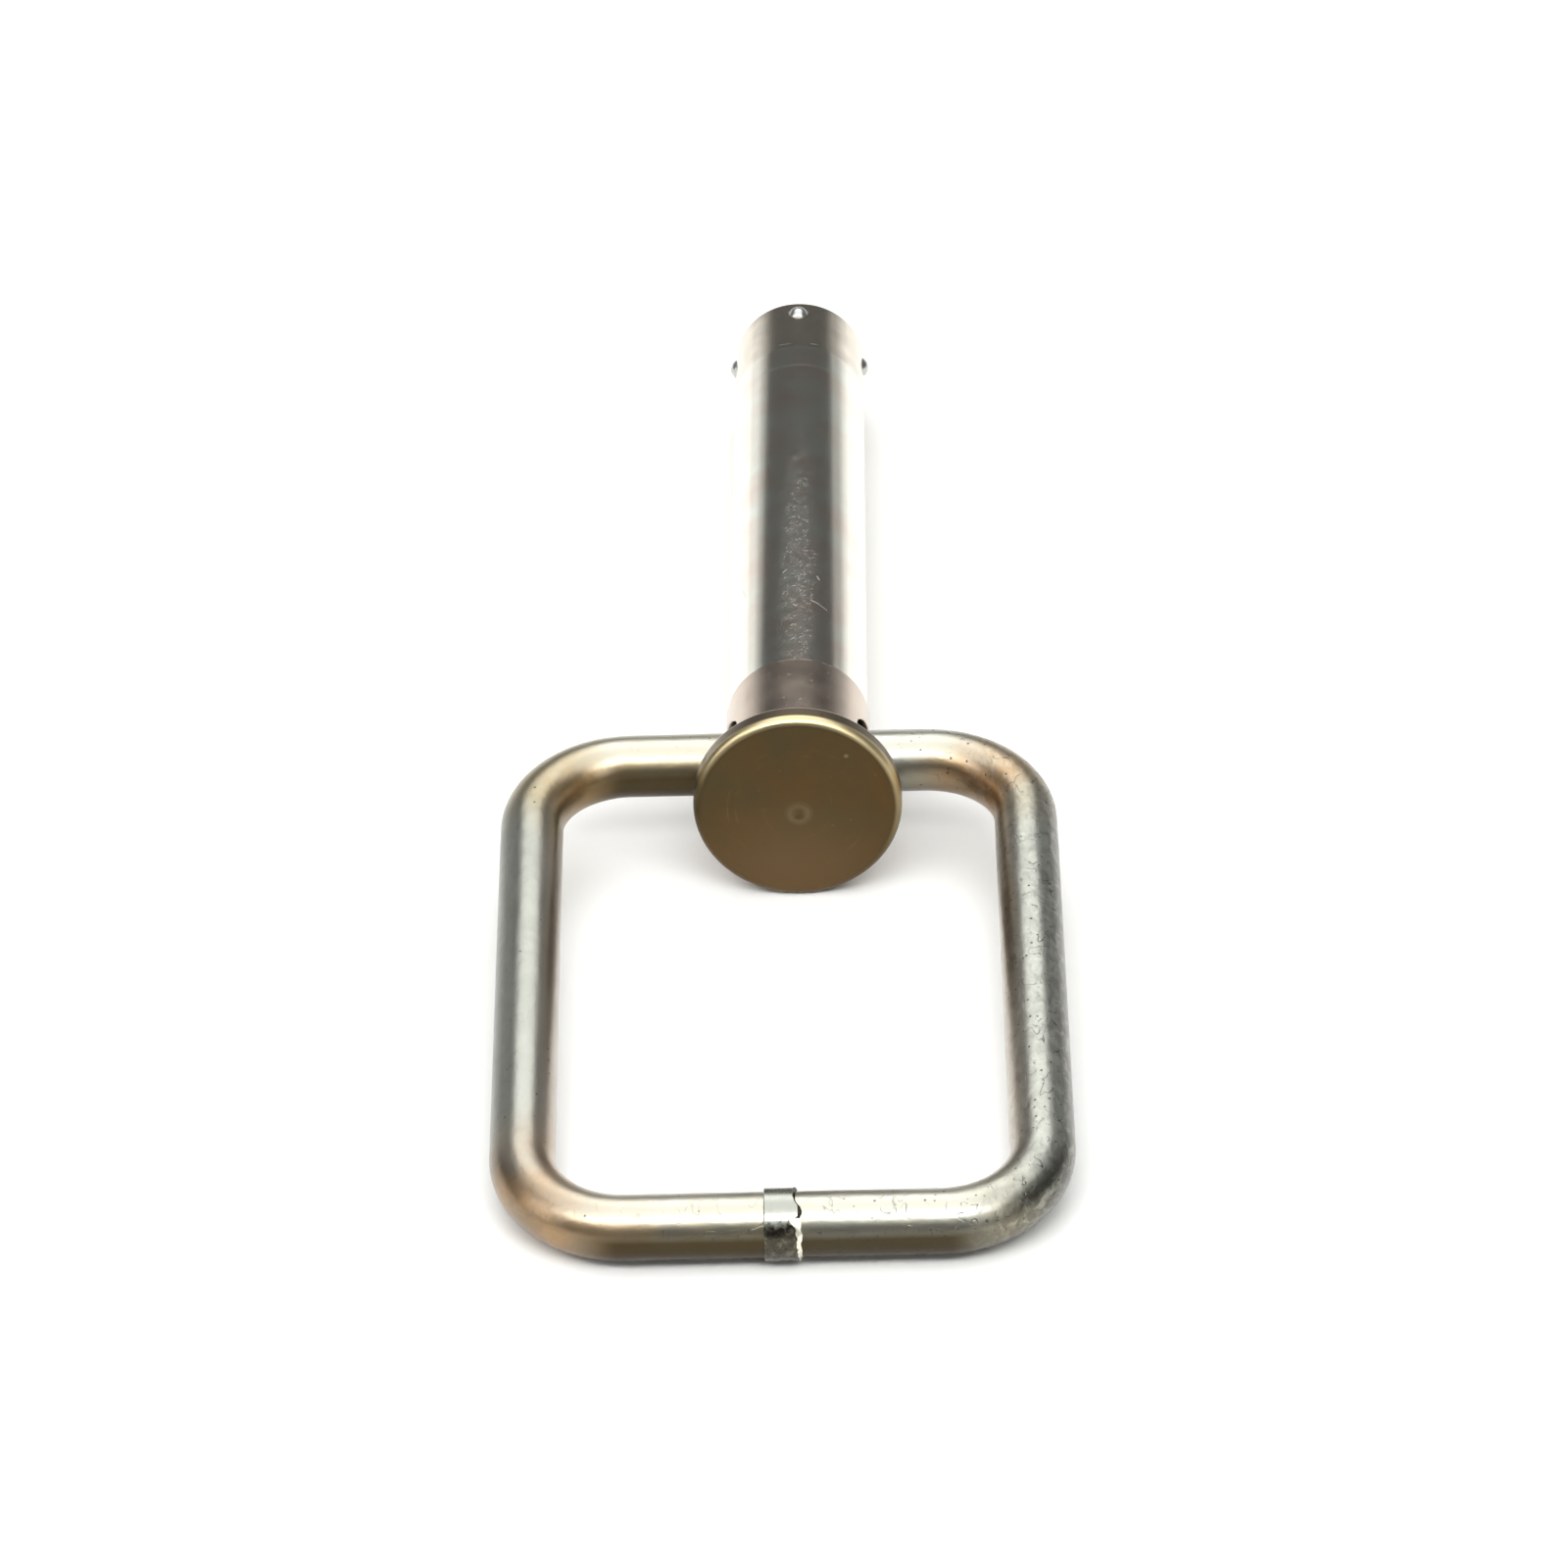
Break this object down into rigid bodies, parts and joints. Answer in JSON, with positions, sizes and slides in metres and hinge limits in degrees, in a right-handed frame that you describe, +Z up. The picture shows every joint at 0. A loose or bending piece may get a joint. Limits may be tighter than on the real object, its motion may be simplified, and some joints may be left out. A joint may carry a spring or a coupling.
{
  "type": "drawbar pin",
  "caption": "Steel drawbar pin with a flat round head, a rounded-square loop handle hinged through its collar, and sprung detent balls at the tip.",
  "frame": {"origin": "on the floor, under the middle of the lying part's box", "axes": "+Y from the handle and head towards the pin's tip, +Z up, +X to the right seen from the head"},
  "size_m": [0.0984, 0.272, 0.0368],
  "materials": {
    "pin_finish": "turned steel with a thin yellow passivated zinc, ground bare along the shank",
    "handle_finish": "satin zinc with a pale yellow tint",
    "ball_steel": "polished bearing steel",
    "spring_wire": "drawn spring wire"
  },
  "bodies": {
    "pin": {"pin_body": "pin_finish", "detent_spring_top": "spring_wire", "detent_spring_left": "spring_wire", "detent_spring_bottom": "spring_wire", "detent_spring_right": "spring_wire"},
    "handle": {"handle": "handle_finish"},
    "ball_top": {"detent_ball_top": "ball_steel"},
    "ball_left": {"detent_ball_left": "ball_steel"},
    "ball_bottom": {"detent_ball_bottom": "ball_steel"},
    "ball_right": {"detent_ball_right": "ball_steel"}
  },
  "joints": [
    {"name": "handle_hinge", "type": "hinge", "parent": "pin", "child": "handle", "pos_m": [0.00298, -0.01059, 0.01698], "axis": [-1, -0.0087, -0.0008], "range_deg": [-164, 177]},
    {"name": "ball_top_press", "type": "slide", "parent": "pin", "child": "ball_top", "axis": [0, -0.0327, -0.9995], "range_m": [0, 0.001], "stiffness_N_per_m": 10000, "deforming": ["detent_spring_top"]},
    {"name": "ball_left_press", "type": "slide", "parent": "pin", "child": "ball_left", "axis": [1, 0, 0], "range_m": [0, 0.001], "stiffness_N_per_m": 10000, "deforming": ["detent_spring_left"]},
    {"name": "ball_bottom_press", "type": "slide", "parent": "pin", "child": "ball_bottom", "axis": [0, 0.0327, 0.9995], "range_m": [0, 0.001], "stiffness_N_per_m": 10000, "deforming": ["detent_spring_bottom"]},
    {"name": "ball_right_press", "type": "slide", "parent": "pin", "child": "ball_right", "axis": [-1, 0, 0], "range_m": [0, 0.001], "stiffness_N_per_m": 10000, "deforming": ["detent_spring_right"]}
  ]
}
